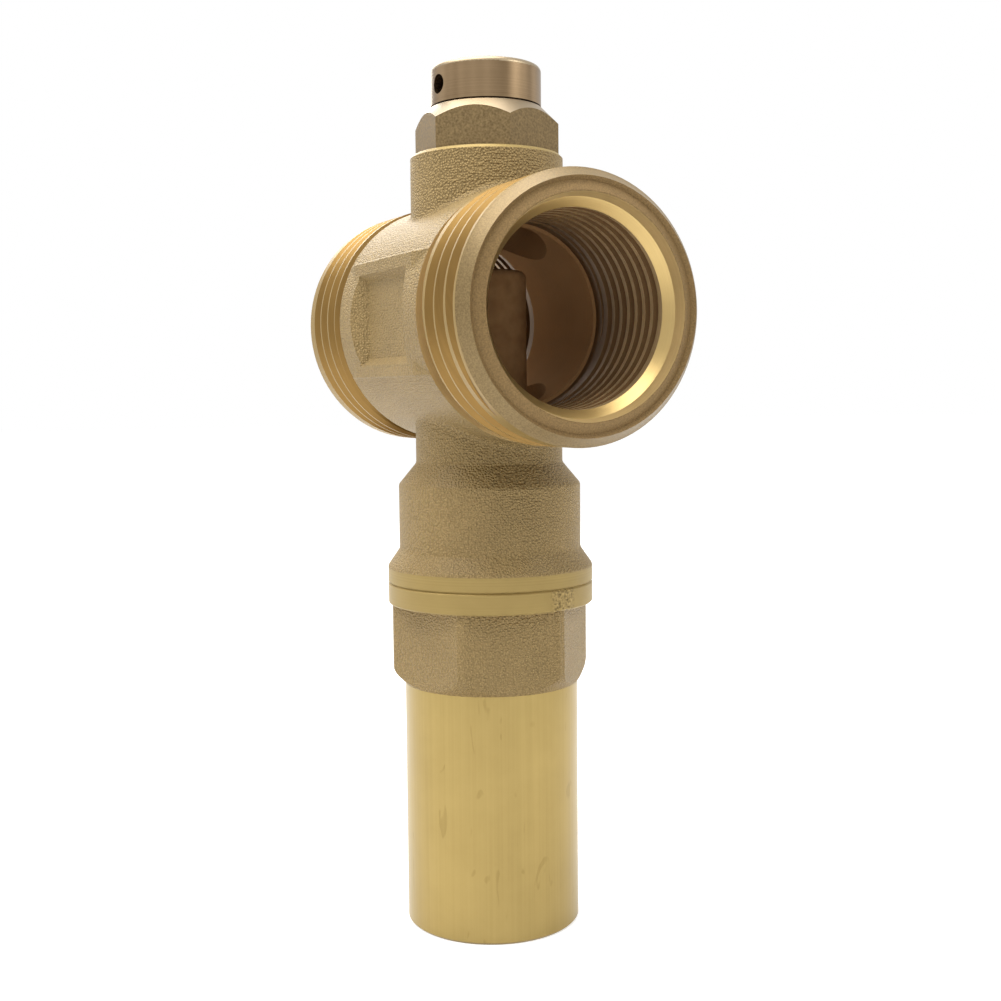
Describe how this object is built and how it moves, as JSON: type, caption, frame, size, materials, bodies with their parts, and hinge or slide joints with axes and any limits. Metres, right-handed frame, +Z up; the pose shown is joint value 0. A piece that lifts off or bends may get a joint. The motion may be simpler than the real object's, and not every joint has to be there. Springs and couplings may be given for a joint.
{
  "type": "anti-freeze drain valve",
  "caption": "Brass inline valve with threaded pipe ports, a hexagon vacuum breaker above and a wax-driven drain shutter with an outlet tube below; drains the pipe before frost.",
  "frame": {"origin": "centre of the drain tube's foot face, which stands on the ground plane", "axes": "+Z up along the valve axis, +X along the pipe out of the port that the picture shows from the front"},
  "size_m": [0.054, 0.0332, 0.1159],
  "materials": {
    "cast_brass": "fine blasted casting",
    "turned_brass": "bright turned brass",
    "capsule_copper": "dull copper alloy",
    "seal_rubber": "matte black rubber",
    "spring_steel": "drawn stainless wire and strip"
  },
  "bodies": {
    "valve": {"valve_body": "cast_brass", "lower_housing": "cast_brass", "housing_o_ring": "seal_rubber", "drain_tube": "turned_brass", "capsule_carrier": "turned_brass", "overtravel_clip": "spring_steel", "overtravel_spring": "spring_steel", "return_spring": "spring_steel", "breaker_plug": "turned_brass", "breaker_gasket": "seal_rubber", "breaker_cap": "turned_brass", "breaker_spring": "spring_steel"},
    "poppet": {"breaker_poppet": "turned_brass", "breaker_poppet_seal": "seal_rubber", "breaker_spring_plate": "spring_steel", "breaker_stem_clip": "spring_steel"},
    "shutter": {"shutter": "turned_brass", "shutter_seal": "seal_rubber", "seal_screw": "spring_steel", "piston_rod": "spring_steel"},
    "capsule": {"wax_capsule": "capsule_copper", "capsule_guide": "turned_brass"}
  },
  "joints": [
    {"name": "poppet_slide", "type": "slide", "parent": "valve", "child": "poppet", "axis": [0, 0, -1], "range_m": [0, 0.002], "stiffness_N_per_m": 150, "springref_m": -0.004, "deforming": ["breaker_spring"]},
    {"name": "shutter_slide", "type": "slide", "parent": "valve", "child": "shutter", "axis": [0, 0, 1], "range_m": [0, 0.003], "deforming": ["return_spring"]},
    {"name": "capsule_slide", "type": "slide", "parent": "valve", "child": "capsule", "axis": [0, 0, 1], "range_m": [0, 0.0015], "stiffness_N_per_m": 2000, "springref_m": -0.002, "deforming": ["overtravel_spring"]}
  ]
}
